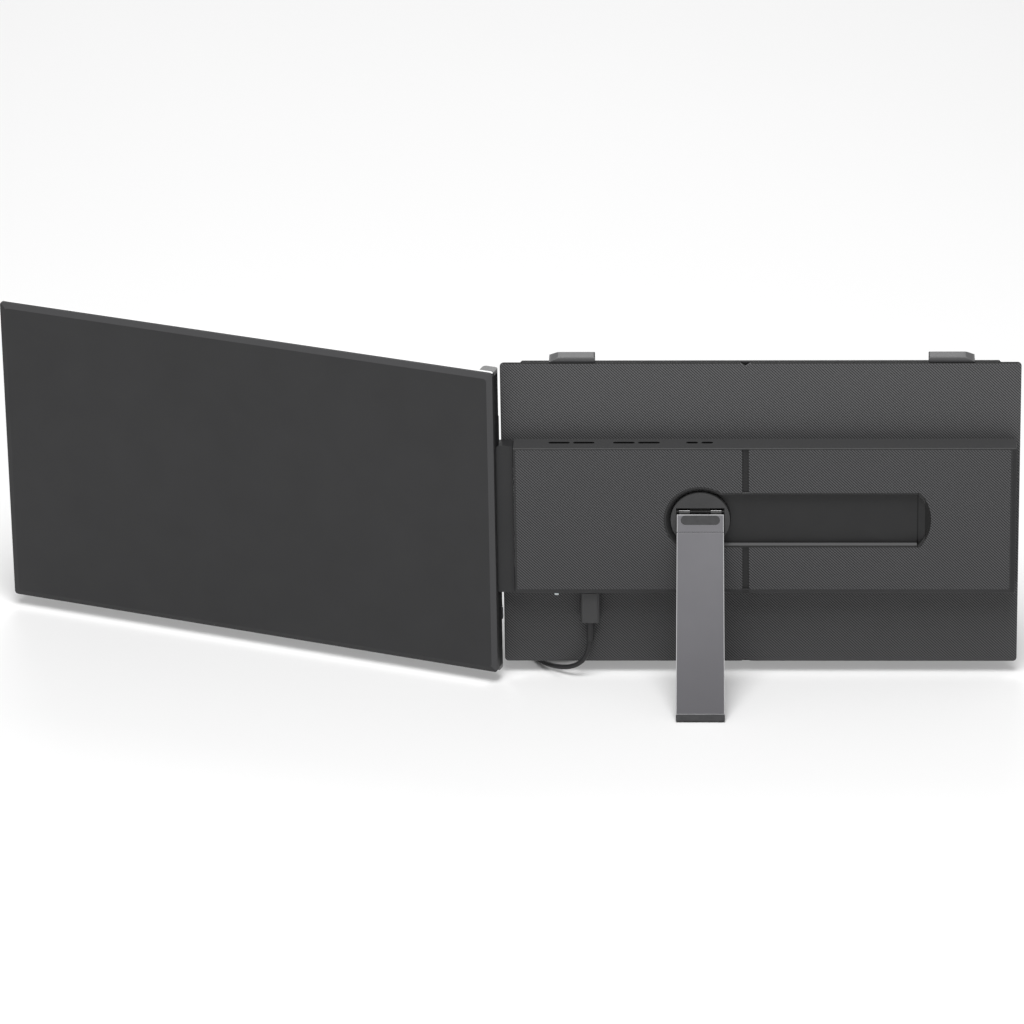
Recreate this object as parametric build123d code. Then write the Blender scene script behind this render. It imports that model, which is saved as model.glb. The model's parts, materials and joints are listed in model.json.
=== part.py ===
from build123d import *
import math
import os

# Laptop screen extender: a bracket that hangs on a laptop's lid, with one hinged screen on its left.
# Frame: origin on the bracket's lid face, +Y towards the laptop's user, +X right seen from behind, +Z up.
# All sizes are in millimetres.

# clearances
static_gap = 0.1
slide_gap = 0.2
part_gap = 0.3
shaft_gap = 0.05

# mounting plate: a thin rear cover on a narrower, hollow front plate
plate_w = 312.7
plate_h = 199.0
plate_t = 4.2
plate_corner_r = 2.4
plate_bevel = 0.5
cover_t = 1.4
front_skin_t = 1.1
front_margin = 10.8
front_corner_cut = 2.6
front_rim = 2.0
middle_x = -8.9
middle_rib = 4.3
notch_w = 5.6
notch_depth = 1.7
notch_r = 1.2
lid_pad_w = 200.0
lid_pad_h = 14.0
lid_pad_t = 0.5
lid_pad_z = 62.0
lid_pad_corner_r = 3.0
plate_screw_inset = 8.0
plate_screw_r = 0.9
plate_screw_len = 3.5
plate_screw_head_r = 1.8
plate_screw_head_t = 0.6
plate_boss_r = 2.8

# lid clips on the plate's top edge
clip_w = 27.5
clip_left_inset = 43.35
clip_right_inset = 41.65
clip_roof_t = 2.1
clip_curve_depth = 4.2
clip_reach = 7.0
clip_lip_t = 1.2
clip_lip_drop = 8.2
clip_nose_r = 1.1
clip_pad_t = 0.5
clip_pad_inset = 1.0
clip_corner_cut_w = 5.8
clip_corner_cut_h = 2.2
clip_corner_r = 0.9
clip_tongue_w = 20.0
clip_tongue_t = 1.3
clip_tongue_drop = 44.0
spring_len = 24.0
spring_w = 9.0
spring_strip = 0.8
spring_bars = 9

# raised band across the back of the plate
band_left = 7.7
band_right = 2.3
band_z0 = -47.5
band_z1 = 49.7
band_depth = 14.3
band_wall = 1.8
band_top_fillet = 0.8
band_bottom_fillet = 2.4
end_cap_t = 3.5
end_cap_plug = 4.0
end_cap_wall = 1.6
vent_w = 2.6
vent_forward = 8.9
vent_pairs = ((35.0, 12.9), (74.1, 13.1), (112.2, 7.1))
vent_rib = 2.0
weave_pad_t = 0.8
weave_pad_top = 0.95
weave_pad_bottom = 3.5
weave_pad_side = 1.2
weave_pad_corner_r = 1.0
groove_w = 3.9
groove_depth = 1.1
band_screw_r = 1.2
band_screw_head_r = 2.1
band_screw_head_t = 1.0
band_screw_len = 9.0
band_boss_r = 2.9
band_screw_inset = 5.5
band_screw_end_inset = 11.6

# kickstand pocket, swivel disc and leg
swivel_offset = 27.3
swivel_z = 2.2
disc_r = 17.9
ring_r = 20.8
pocket_flare = 2.2
tray_wall = 1.2
tray_flange = 2.0
tray_flange_t = 1.1
trough_h = 33.6
trough_depth = 3.9
finger_room = 9.7
scoop_len = 6.6
pocket_depth = 5.3
disc_setback = 0.2
disc_floor_t = 1.2
spindle_r = 6.0
washer_r = 9.0
washer_hole_r = 6.6
washer_t = 1.3
retainer_r = 10.0
retainer_t = 1.0
swivel_screw_r = 1.4
swivel_screw_head_r = 2.8
swivel_screw_head_t = 1.4
swivel_screw_len = 4.0
leg_length = 126.6
leg_root_w = 28.2
leg_foot_w = 29.6
leg_t = 3.0
leg_edge_bevel = 0.4
leg_side_gap = 0.5
leg_axis_rise = 5.1
leg_axis_depth = 1.7
leg_rest_tilt = 25.0
leg_root_drop = 1.9
leg_slot_rise = 2.8
leg_pin_r = 0.75
leg_pin_hold = 1.7
knuckle_r = 1.45
knuckle_w = 6.5
knuckle_inset = 1.3
knuckle_leaf_t = 1.0
knuckle_leaf_len = 6.0
inlay_w = 23.8
inlay_h = 5.8
inlay_t = 0.4
inlay_drop = 5.3
crease_drop = 12.6
crease_w = 0.6
crease_depth = 0.5
foot_pad_h = 4.0
foot_pad_lap = 8.0
foot_pad_tongue_t = 1.2
foot_pad_tongue_inset = 4.0

# sliding arm between the band and the screen
arm_h = 97.3
arm_z = 0.8
arm_left = 4.5
arm_back_y = -14.3
arm_front_y = -4.5
arm_end_gap = 0.4
arm_back_r = 3.6
arm_waist_y = -8.5
arm_tongue_h = 66.0
arm_tongue_t = 4.6
arm_tongue_y = -9.4
arm_tongue_reach = 78.0
arm_tongue_root = 6.0
arm_window_w = 44.0
arm_window_h = 34.0
arm_screw_r = 1.2
arm_screw_head_r = 2.2
arm_screw_head_t = 1.2
arm_screw_len = 7.0
arm_screw_pitch = 44.0
arm_screw_inset = 3.0
guide_h = 7.0
guide_bite = 2.8
guide_len = 70.0
guide_front_y = -5.2

# screen hinge
hinge_gap = 3.45
hinge_y = -4.2
hinge_pin_r = 1.2
bush_wall = 0.5
hinge_pin_head_r = 2.9
hinge_pin_head_len = 8.0
barrel_r = 2.4
upper_ear_len = 15.0
lower_ear_len = 13.6
screen_rest_angle = 20.0

# screen, measured from the hinge axis while it stands flat in line with the plate
lcd_w = 310.4
lcd_h = 182.0
chin_h = 10.0
screen_overlap = 5.0
screen_edge_depth = 15.2
screen_t = 4.5
screen_bevel_w = 3.5
screen_bevel_t = 1.1
screen_corner_r = 2.2
screen_wall = 1.4
screen_skin_t = 0.9
frame_t = 1.8
glass_border = 3.2
glass_t = 0.8
glass_corner_r = 0.9
driver_w = 180.0
driver_h = 6.4
driver_t = 1.4
spine_w = 9.6
spine_t = 7.1
spine_edge_r = 2.4
spine_wall = 1.4
spine_cap_t = 2.4
button_w = 3.6
button_h = 5.0
button_proud = 0.6
button_flange = 0.5
button_flange_t = 0.7
button_names = ("power_button", "brighter_button", "dimmer_button")

# board, port and status light in the band
port_inset = 45.15
port_y = -10.1
port_w = 8.94
port_t = 3.1
port_len = 7.4
port_wall = 0.27
port_recess = 0.2
port_depth = 6.8
port_tongue_w = 6.6
port_tongue_t = 0.7
port_tongue_len = 4.8
board_t = 1.0
board_inset = 16.65
board_w = 64.0
board_h = 7.6
board_post_r = 1.6
board_screw_r = 0.7
board_screw_head_r = 1.4
board_screw_head_t = 0.7
board_screw_len = 3.0
board_screw_inset = 4.0
led_side = 24.95
led_w = 2.6
led_t = 1.0
led_proud = 1.3
led_len = 5.0
led_inset = 2.6

# cable with a plug at each end
plug_w = 11.9
plug_t = 6.2
plug_standoff = 2.0
plug_len = 19.9
plug_edge_r = 2.6
plug_shell_w = 8.25
plug_shell_t = 2.4
plug_shell_len = 6.6
plug_mouth_w = 7.0
plug_mouth_t = 1.2
plug_mouth_depth = 5.4
relief_len = 13.0
relief_root_r = 2.4
relief_tip_r = 2.0
cable_d = 3.0
cable_hidden_in_relief = 8.0
coil_columns = 4
coil_layers = 2
coil_mid_r = 17.05
coil_pitch = 3.1
coil_layer_step = 3.0
coil_offset_x = -21.8
coil_y = 36.0
lead_drop = 16.15
lead_bend_side = 10.5
lead_bend_drop = 11.3
lead_floor_side = 30.5
lead_floor_y = 4.5
route_share = 0.45
tie_arc = 24.0
tie_t = 0.5
coil_meet = 12.0
tail_first_run = 10.0
tail_second_run = 14.0
tail_turn = 25.0

# worked out from the sizes above
plate_x0 = -plate_w / 2
plate_x1 = plate_w / 2
plate_top = plate_h / 2
cavity_y = cover_t - plate_t
front_skin_y = -front_skin_t
front_x0 = plate_x0 + front_margin
front_x1 = plate_x1 - front_margin
clip_left_x = plate_x0 + clip_left_inset
clip_right_x = plate_x1 - clip_right_inset
band_x0 = plate_x0 + band_left
band_x1 = plate_x1 - band_right
band_body_x1 = band_x1 - end_cap_t
band_y0 = -plate_t - band_depth
band_inner_y = band_y0 + band_wall
pad_z0 = band_z0 + weave_pad_bottom
pad_z1 = band_z1 - weave_pad_top
groove_x0 = middle_x - groove_w / 2
groove_x1 = middle_x + groove_w / 2
swivel_x = middle_x - swivel_offset
trough_end_x = swivel_x + leg_length - leg_axis_rise + finger_room
port_x = band_x0 + port_inset
led_x = band_x0 + led_side
board_x0 = band_x0 + board_inset
board_x1 = board_x0 + board_w
tray_floor_y = band_y0 + trough_depth
pocket_floor_y = band_y0 + pocket_depth
tray_back_y = pocket_floor_y + tray_wall
disc_face_y = band_y0 + disc_setback
disc_back_y = pocket_floor_y - part_gap
leg_axis_y = band_y0 + leg_axis_depth
leg_axis_z = swivel_z + leg_axis_rise
axis_x = plate_x0 - hinge_gap
arm_x0 = axis_x - arm_left
arm_x1 = band_x0 - arm_end_gap
arm_z0 = arm_z - arm_h / 2
arm_z1 = arm_z + arm_h / 2
bush_r = hinge_pin_r + shaft_gap + bush_wall
screen_w = lcd_w + 2 * part_gap + 2 * glass_border + spine_w
screen_h = lcd_h + 2 * part_gap + 2 * glass_border + chin_h
screen_x1 = screen_overlap
screen_x0 = screen_overlap - screen_w
screen_back_y = -screen_edge_depth - screen_bevel_t
screen_front_y = screen_back_y + screen_t
screen_top = screen_h / 2
spine_x0 = screen_x1 - spine_w
spine_front_y = screen_front_y + spine_t
glass_x0 = screen_x0 + glass_border
glass_x1 = spine_x0 - glass_border
leg_tilt = math.radians(leg_rest_tilt)
desk_z = leg_axis_z - leg_length * math.cos(leg_tilt) - leg_t / 2 * math.sin(leg_tilt)
coil_x = port_x + coil_offset_x
coil_outer_r = coil_mid_r + coil_columns * coil_pitch / 2
coil_inner_r = coil_mid_r - coil_columns * coil_pitch / 2
coil_z0 = desk_z + tie_t + static_gap
coil_z1 = coil_z0 + coil_layers * coil_layer_step


def block(x0, x1, y0, y1, z0, z1):
    return Pos((x0 + x1) / 2, (y0 + y1) / 2, (z0 + z1) / 2) * Box(x1 - x0, y1 - y0, z1 - z0)


def rod_x(y, z, r, x0, x1):
    return Pos((x0 + x1) / 2, y, z) * Rot(0, 90, 0) * Cylinder(r, x1 - x0)


def rod_y(x, z, r, y0, y1):
    return Pos(x, (y0 + y1) / 2, z) * Rot(90, 0, 0) * Cylinder(r, y1 - y0)


def rod_z(x, y, r, z0, z1):
    return Pos(x, y, (z0 + z1) / 2) * Cylinder(r, z1 - z0)


def prism_x(outline, x0, x1):
    return extrude(Plane.YZ.offset(x0) * outline, amount=x1 - x0)


def prism_y(outline, y0, y1):
    return extrude(Plane.XZ.offset(-y1) * outline, amount=y1 - y0)


def prism_z(outline, z0, z1):
    return extrude(Pos(0, 0, z0) * outline, amount=z1 - z0)


def rounded(x0, x1, z0, z1, r):
    return Pos((x0 + x1) / 2, (z0 + z1) / 2) * RectangleRounded(x1 - x0, z1 - z0, r)


def polygon(*points):
    turns = sum(a[0] * b[1] - b[0] * a[1] for a, b in zip(points, points[1:] + points[:1]))
    anticlockwise = points if turns > 0 else points[::-1]
    return Polygon(*anticlockwise, align=None)


# bracket: plate

def plate_screw_spots():
    z = plate_top - plate_screw_inset
    xs = (front_x0 + plate_screw_inset, middle_x - plate_screw_inset,
          middle_x + plate_screw_inset, front_x1 - plate_screw_inset)
    return [(x, side * z) for x in xs for side in (-1, 1)]


def band_screw_spots():
    first = band_x0 + band_screw_end_inset
    last = band_body_x1 - band_screw_end_inset
    second = band_x0 + (vent_pairs[1][0] + vent_pairs[2][0]) / 2 + vent_rib
    third = (second + last) / 2
    zs = (band_z0 + band_screw_inset, band_z1 - band_screw_inset)
    return [(x, z) for x in (first, second, third, last) for z in zs]


def spring_foot_z():
    return plate_top - clip_tongue_drop - part_gap - spring_len


def rear_cover():
    outline = rounded(plate_x0, plate_x1, -plate_top, plate_top, plate_corner_r)
    for side in (-1, 1):
        edge = side * plate_top
        notch = polygon((middle_x - notch_w / 2, edge), (middle_x, edge - side * notch_depth),
                        (middle_x + notch_w / 2, edge))
        outline -= notch
    near_notch = [v for v in outline.vertices() if abs(v.X - middle_x) < notch_w]
    outline = fillet(near_notch, notch_r)
    body = prism_y(outline, -plate_t, cavity_y)
    rear_edges = body.faces().sort_by(Axis.Y)[0].edges()
    body = chamfer(rear_edges, plate_bevel)
    for x, z in plate_screw_spots():
        body -= rod_y(x, z, plate_screw_r + shaft_gap, -plate_screw_len - static_gap, cavity_y)
    for x, z in band_screw_spots():
        body -= rod_y(x, z, band_screw_r + shaft_gap, -plate_t, cavity_y)
    return body


def front_plate():
    outline = polygon(
        (front_x0, -plate_top), (front_x1, -plate_top),
        (front_x1, plate_top - front_corner_cut), (front_x1 - front_corner_cut, plate_top),
        (front_x0 + front_corner_cut, plate_top), (front_x0, plate_top - front_corner_cut),
    )
    body = prism_y(outline, cavity_y, 0)
    rim_z = plate_top - front_rim - front_corner_cut
    for x0, x1 in ((front_x0 + front_rim, middle_x - middle_rib / 2),
                   (middle_x + middle_rib / 2, front_x1 - front_rim)):
        body -= block(x0, x1, cavity_y, front_skin_y, -rim_z, rim_z)
    half = clip_tongue_w / 2 + slide_gap
    for x in (clip_left_x, clip_right_x):
        body -= block(x - half, x + half, cavity_y, front_skin_y, rim_z - front_rim, plate_top)
        rib_z = spring_foot_z() - static_gap
        body += block(x - half, x + half, cavity_y, front_skin_y, rib_z - front_rim, rib_z)
    for side in (-1, 1):
        body -= lid_pad(side, 0)
    for x, z in plate_screw_spots():
        body += rod_y(x, z, plate_boss_r, cavity_y, front_skin_y)
        body -= rod_y(x, z, plate_screw_r + shaft_gap, cavity_y, 0)
        body -= rod_y(x, z, plate_screw_head_r + shaft_gap, -plate_screw_head_t, 0)
    return body


def lid_pad(side, gap):
    z = side * lid_pad_z
    w = lid_pad_w / 2 - gap
    h = lid_pad_h / 2 - gap
    return prism_y(rounded(-w, w, z - h, z + h, lid_pad_corner_r), -lid_pad_t, 0)


def lid_pads():
    return [lid_pad(side, shaft_gap) for side in (-1, 1)]


def screw_y(x, z, r, length, head_r, head_t, head_y, away):
    shank = sorted((head_y, head_y - away * length))
    head = sorted((head_y, head_y + away * head_t))
    return rod_y(x, z, r, *shank) + rod_y(x, z, head_r, *head)


def plate_screws():
    spots = plate_screw_spots()
    return [screw_y(x, z, plate_screw_r, plate_screw_len - plate_screw_head_t, plate_screw_head_r,
                    plate_screw_head_t, -plate_screw_head_t, 1) for x, z in spots]


def band_screws():
    spots = band_screw_spots()
    return [screw_y(x, z, band_screw_r, band_screw_len, band_screw_head_r,
                    band_screw_head_t, cavity_y, 1) for x, z in spots]


# lid clips

def clip_outline(x, outer_side, low, top):
    inner = x - outer_side * clip_w / 2
    outer = x + outer_side * clip_w / 2
    shape = polygon((inner, low), (outer, low), (outer, top - clip_corner_cut_h),
                    (outer - outer_side * clip_corner_cut_w, top), (inner, top))
    return fillet([v for v in shape.vertices() if v.Y > low], clip_corner_r)


def clip(x, outer_side):
    top = plate_top + part_gap + clip_pad_t + clip_roof_t
    seat = plate_top + part_gap
    rear = -plate_t
    lip_y = clip_reach - clip_lip_t
    section = polygon((rear, seat), (0, seat), (0, seat + clip_pad_t), (lip_y, seat + clip_pad_t),
                      (lip_y, top - clip_lip_drop), (clip_reach, top - clip_lip_drop),
                      (clip_reach, top), (rear, top))
    body = prism_x(section, x - clip_w / 2, x + clip_w / 2)
    corner = block(x - clip_w / 2, x + clip_w / 2, rear, rear + clip_curve_depth, seat, top)
    rise = top - seat
    curve = scale(Cylinder(1, clip_w), by=(rise, clip_curve_depth, 1))
    body -= corner
    body += corner & (Pos(x, rear + clip_curve_depth, seat) * Rot(0, 90, 0) * curve)
    nose = body.edges().filter_by(Axis.X).group_by(Axis.Y)[-1].sort_by(Axis.Z)[-1]
    body = fillet(nose, clip_nose_r)
    body &= prism_y(clip_outline(x, outer_side, top - clip_lip_drop, top), rear, clip_reach)
    tongue_y0 = cavity_y + slide_gap
    body += block(x - clip_tongue_w / 2, x + clip_tongue_w / 2, tongue_y0, tongue_y0 + clip_tongue_t,
                  plate_top - clip_tongue_drop, seat + clip_pad_t)
    return body


def clip_pad(x):
    seat = plate_top + part_gap
    lip_y = clip_reach - clip_lip_t
    low = seat + clip_pad_t + clip_roof_t - clip_lip_drop + clip_pad_inset
    half = clip_w / 2 - clip_pad_inset
    roof_part = block(x - half, x + half, part_gap, lip_y, seat, seat + clip_pad_t)
    return roof_part + block(x - half, x + half, lip_y - clip_pad_t, lip_y, low, seat + clip_pad_t)


def clip_spring(x):
    foot = spring_foot_z()
    step = (spring_len - spring_strip) / (spring_bars - 1)
    y0 = cavity_y
    y1 = cavity_y + spring_strip
    body = None
    for n in range(spring_bars):
        z = foot + n * step
        bar = block(x - spring_w / 2, x + spring_w / 2, y0, y1, z, z + spring_strip)
        body = bar if body is None else body + bar
        if n < spring_bars - 1:
            side = 1 if n % 2 else -1
            edge = x + side * spring_w / 2
            inner = edge - side * spring_strip
            body += block(min(edge, inner), max(edge, inner), y0, y1, z, z + step + spring_strip)
    return body


# bracket: band

def tray_outline(grow):
    half = trough_h / 2 + grow
    end = trough_end_x + grow
    slot = polygon((swivel_x, swivel_z - half), (end, swivel_z - half), (end, swivel_z + half),
                   (swivel_x, swivel_z + half))
    sag = scoop_len
    bow_r = (half * half + sag * sag) / (2 * sag)
    bow = Pos(end + sag - bow_r, swivel_z) * Circle(bow_r)
    bow &= polygon((end, swivel_z - half), (end + 2 * sag, swivel_z - half), (end + 2 * sag, swivel_z + half),
                   (end, swivel_z + half))
    return Pos(swivel_x, swivel_z) * Circle(ring_r + grow) + slot + bow


def band_outline():
    return polygon((-plate_t, band_z0), (-plate_t, band_z1), (band_y0, band_z1), (band_y0, band_z0))


def band_prism(x0, x1):
    body = prism_x(band_outline(), x0, x1)
    rear = body.edges().filter_by(Axis.X).group_by(Axis.Y)[0].sort_by(Axis.Z)
    body = fillet(rear[0], band_bottom_fillet)
    rear = body.edges().filter_by(Axis.X).group_by(Axis.Y)[0].sort_by(Axis.Z)
    return fillet(rear[-1], band_top_fillet)


def vent_spots():
    spots = []
    for from_end, length in vent_pairs:
        for side in (-1, 1):
            spots.append((band_x0 + from_end + side * (vent_rib + length) / 2, length))
    return spots


def band_housing():
    body = band_prism(band_x0, band_body_x1)
    body -= block(band_x0, band_body_x1, band_inner_y, -plate_t, band_z0 + band_wall, band_z1 - band_wall)
    vent_y = band_y0 + vent_forward
    for x, length in vent_spots():
        slot = Pos(x, vent_y) * SlotOverall(length, vent_w)
        body -= prism_z(slot, band_z1 - 2 * band_wall, band_z1 + band_wall)
    for x0, x1 in ((band_x0 + weave_pad_side, groove_x0), (groove_x1, band_body_x1)):
        body -= prism_y(rounded(x0, x1, pad_z0, pad_z1, weave_pad_corner_r), band_y0, band_y0 + weave_pad_t)
    body -= block(groove_x0, groove_x1, band_y0, band_y0 + groove_depth, pad_z0, pad_z1)
    body -= prism_y(tray_outline(tray_wall + static_gap), band_y0, band_inner_y)
    mouth = Pos(port_x, port_y) * SlotOverall(port_w + 2 * static_gap, port_t + 2 * static_gap)
    body -= prism_z(mouth, band_z0, band_z0 + band_wall)
    body -= status_led(shaft_gap)
    for x, z in band_screw_spots():
        body += rod_y(x, z, band_boss_r, band_inner_y, -plate_t)
        body -= rod_y(x, z, band_screw_r + shaft_gap, -plate_t - band_screw_len, -plate_t)
    for x in board_screw_xs():
        body += rod_y(x, board_z(), board_post_r, band_inner_y, board_back_y())
        pilot_r = board_screw_r + shaft_gap
        body -= rod_y(x, board_z(), pilot_r, board_back_y() - board_screw_len, board_back_y())
    return body


def band_end_cap():
    body = band_prism(band_body_x1, band_x1)
    ends = body.faces().sort_by(Axis.X)[-1].edges()
    body = chamfer(ends, plate_bevel)
    low = band_z0 + band_wall + static_gap
    high = band_z1 - band_wall - static_gap
    y0 = band_inner_y + static_gap
    y1 = -plate_t - static_gap
    body += block(band_body_x1 - end_cap_plug, band_body_x1, y0, y1, low, high)
    body -= block(band_body_x1 - end_cap_plug, band_body_x1, y0 + end_cap_wall, y1,
                  low + end_cap_wall, high - end_cap_wall)
    return body


def weave_pad(x0, x1):
    z0 = pad_z0 + shaft_gap
    z1 = pad_z1 - shaft_gap
    outline = rounded(x0 + shaft_gap, x1 - shaft_gap, z0, z1, weave_pad_corner_r)
    body = prism_y(outline, band_y0, band_y0 + weave_pad_t)
    return body - prism_y(tray_outline(tray_wall + static_gap), band_y0, band_y0 + weave_pad_t)


def kickstand_tray():
    body = prism_y(tray_outline(tray_wall), band_y0, tray_floor_y + tray_wall)
    body += prism_y(tray_outline(tray_wall + tray_flange), band_inner_y, band_inner_y + tray_flange_t)
    body += rod_y(swivel_x, swivel_z, ring_r + tray_wall, band_y0, tray_back_y)
    half = trough_h / 2
    body -= block(swivel_x, trough_end_x, band_y0, tray_floor_y, swivel_z - half, swivel_z + half)
    ramp = polygon((trough_end_x, band_y0), (trough_end_x + scoop_len, band_y0), (trough_end_x, tray_floor_y))
    wedge = prism_z(ramp, swivel_z - half, swivel_z + half)
    body -= wedge & prism_y(tray_outline(0), band_y0, tray_floor_y)
    pocket_r = disc_r + leg_side_gap
    flare = Rot(-90, 0, 0) * Cone(ring_r, pocket_r, pocket_flare)
    body -= Pos(swivel_x, band_y0 + pocket_flare / 2, swivel_z) * flare
    body -= rod_y(swivel_x, swivel_z, pocket_r, band_y0, pocket_floor_y)
    body -= rod_y(swivel_x, swivel_z, spindle_r + shaft_gap, pocket_floor_y, tray_back_y)
    return body


# kickstand

def swivel_disc():
    body = rod_y(swivel_x, swivel_z, disc_r, disc_face_y, disc_back_y)
    half = leg_root_w / 2 + leg_side_gap
    floor = disc_back_y - disc_floor_t
    x0 = swivel_x - half
    x1 = swivel_x + half
    body -= block(x0, x1, disc_face_y, floor, swivel_z - disc_r, leg_axis_z + leg_slot_rise)
    body -= rod_x(leg_axis_y, leg_axis_z, leg_pin_r + shaft_gap, x0 - leg_pin_hold, x1 + leg_pin_hold)
    end = tray_back_y + washer_t + part_gap
    body += rod_y(swivel_x, swivel_z, spindle_r, disc_back_y, end)
    return body - rod_y(swivel_x, swivel_z, swivel_screw_r + shaft_gap, end - swivel_screw_len, end)


def swivel_washer():
    y1 = tray_back_y + washer_t
    hole = rod_y(swivel_x, swivel_z, washer_hole_r, tray_back_y, y1)
    return rod_y(swivel_x, swivel_z, washer_r, tray_back_y, y1) - hole


def swivel_retainer():
    y0 = tray_back_y + washer_t + part_gap
    return (rod_y(swivel_x, swivel_z, retainer_r, y0, y0 + retainer_t)
            - rod_y(swivel_x, swivel_z, swivel_screw_r + shaft_gap, y0, y0 + retainer_t))


def swivel_screw():
    head = tray_back_y + washer_t + part_gap + retainer_t
    return screw_y(swivel_x, swivel_z, swivel_screw_r, retainer_t + swivel_screw_len - static_gap,
                   swivel_screw_head_r, swivel_screw_head_t, head, 1)


def leg_hinge_pin():
    half = leg_root_w / 2 + leg_side_gap + leg_pin_hold - static_gap
    return rod_x(leg_axis_y, leg_axis_z, leg_pin_r, swivel_x - half, swivel_x + half)


def place_leg(body):
    return Pos(swivel_x, leg_axis_y, leg_axis_z) * Rot(-leg_rest_tilt, 0, 0) * body


def leg_half_width(drop):
    return (leg_root_w + (leg_foot_w - leg_root_w) * drop / leg_length) / 2


def leg_slab(z_top, z_end, y0, y1, bevelled):
    top = leg_half_width(z_top)
    end = leg_half_width(z_end)
    body = prism_y(polygon((-end, -z_end), (end, -z_end), (top, -z_top), (-top, -z_top)), y0, y1)
    if bevelled:
        body = chamfer(body.faces().sort_by(Axis.Y)[0].edges(), leg_edge_bevel)
    return body


def knuckle_middles():
    middle = leg_root_w / 2 - knuckle_inset - knuckle_w / 2
    return (-middle, middle)


def leg_plate():
    body = leg_slab(leg_root_drop, leg_length - foot_pad_h, -leg_t / 2, leg_t / 2, True)
    leaf_end = leg_root_drop + knuckle_leaf_len
    for x in knuckle_middles():
        half = knuckle_w / 2 + static_gap
        t = knuckle_leaf_t / 2 + shaft_gap
        body -= block(x - half, x + half, -t, t, -leaf_end, -leg_root_drop)
    body -= prism_y(Pos(0, -inlay_drop) * SlotOverall(inlay_w, inlay_h), -leg_t / 2, inlay_t - leg_t / 2)
    body -= block(-leg_foot_w, leg_foot_w, -leg_t / 2, crease_depth - leg_t / 2,
                  -crease_drop - crease_w / 2, crease_w / 2 - crease_drop)
    half = leg_foot_w / 2 - foot_pad_tongue_inset + static_gap
    t = foot_pad_tongue_t / 2 + shaft_gap
    tip = leg_length - foot_pad_h
    body -= block(-half, half, -t, t, -tip, static_gap + foot_pad_lap - tip)
    return body


def leg_inlay():
    outline = Pos(0, -inlay_drop) * SlotOverall(inlay_w - static_gap, inlay_h - static_gap)
    return prism_y(outline, -leg_t / 2, inlay_t - leg_t / 2)


def leg_foot_pad():
    tip = leg_length - foot_pad_h
    body = leg_slab(tip, leg_length, -leg_t / 2, leg_t / 2, True)
    half = leg_foot_w / 2 - foot_pad_tongue_inset
    t = foot_pad_tongue_t / 2
    return body + block(-half, half, -t, t, -tip, foot_pad_lap - tip)


def leg_knuckles():
    bodies = []
    for x in knuckle_middles():
        x0 = x - knuckle_w / 2
        x1 = x + knuckle_w / 2
        t = knuckle_leaf_t / 2
        barrel = rod_x(0, 0, knuckle_r, x0, x1)
        barrel += block(x0, x1, -t, t, static_gap - leg_root_drop - knuckle_leaf_len, 0)
        bodies.append(barrel - rod_x(0, 0, leg_pin_r + shaft_gap, x0, x1))
    return bodies


# sliding arm

def arm_tongue(gap):
    half_t = arm_tongue_t / 2 + gap
    half_h = arm_tongue_h / 2 + gap
    return block(arm_x1 - arm_tongue_root - gap, arm_x1 + arm_tongue_reach, arm_tongue_y - half_t,
                 arm_tongue_y + half_t, arm_z - half_h, arm_z + half_h)


def arm_screw_spots():
    x = arm_x1 - arm_screw_inset
    return [(x, arm_z + side * arm_screw_pitch / 2) for side in (-1, 1)]


def arm_knuckle():
    outline = polygon((arm_x1, arm_back_y), (arm_x1, arm_front_y), (axis_x + barrel_r, arm_front_y),
                      (axis_x + barrel_r, hinge_y), (axis_x - barrel_r, hinge_y), (arm_x0, arm_waist_y),
                      (arm_x0, arm_back_y))
    body = prism_z(outline, arm_z0, arm_z1)
    rear_left = body.edges().filter_by(Axis.Z).group_by(Axis.Y)[0].sort_by(Axis.X)[0]
    body = fillet(rear_left, arm_back_r)
    body += rod_z(axis_x, hinge_y, barrel_r, arm_z0, arm_z1)
    body -= rod_z(axis_x, hinge_y, hinge_pin_r + shaft_gap, arm_z0, arm_z1)
    body -= arm_tongue(static_gap)
    for x, z in arm_screw_spots():
        head_y = arm_front_y - arm_screw_head_t
        body -= rod_y(x, z, arm_screw_r + shaft_gap, head_y - arm_screw_len, arm_front_y)
        body -= rod_y(x, z, arm_screw_head_r + shaft_gap, head_y, arm_front_y)
    return body


def arm_slider():
    body = arm_tongue(0)
    middle = arm_x1 + arm_tongue_reach / 2
    body -= block(middle - arm_window_w / 2, middle + arm_window_w / 2, arm_tongue_y - arm_tongue_t,
                  arm_tongue_y + arm_tongue_t, arm_z - arm_window_h / 2, arm_z + arm_window_h / 2)
    for x, z in arm_screw_spots():
        body -= rod_y(x, z, arm_screw_r + shaft_gap, arm_tongue_y - arm_tongue_t, arm_tongue_y + arm_tongue_t)
    return body


def arm_screws():
    spots = arm_screw_spots()
    return [screw_y(x, z, arm_screw_r, arm_screw_len - static_gap, arm_screw_head_r, arm_screw_head_t,
                    arm_front_y - arm_screw_head_t, 1) for x, z in spots]


def arm_guides():
    bodies = []
    x0 = band_x0 + arm_end_gap
    half = arm_tongue_h / 2
    for side in (-1, 1):
        inner = arm_z + side * (half - guide_bite)
        outer = inner + side * guide_h
        rail = block(x0, x0 + guide_len, band_inner_y, guide_front_y, min(inner, outer), max(inner, outer))
        bodies.append(rail - arm_tongue(slide_gap))
    return bodies


def hinge_pin():
    head_z = arm_z0 - lower_ear_len - 2 * part_gap
    head = rod_z(axis_x, hinge_y, hinge_pin_head_r, head_z - hinge_pin_head_len, head_z)
    return head + rod_z(axis_x, hinge_y, hinge_pin_r, head_z, arm_z1 + upper_ear_len)


# screen, drawn flat with the hinge axis at the origin, then swung to its rest angle

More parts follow.
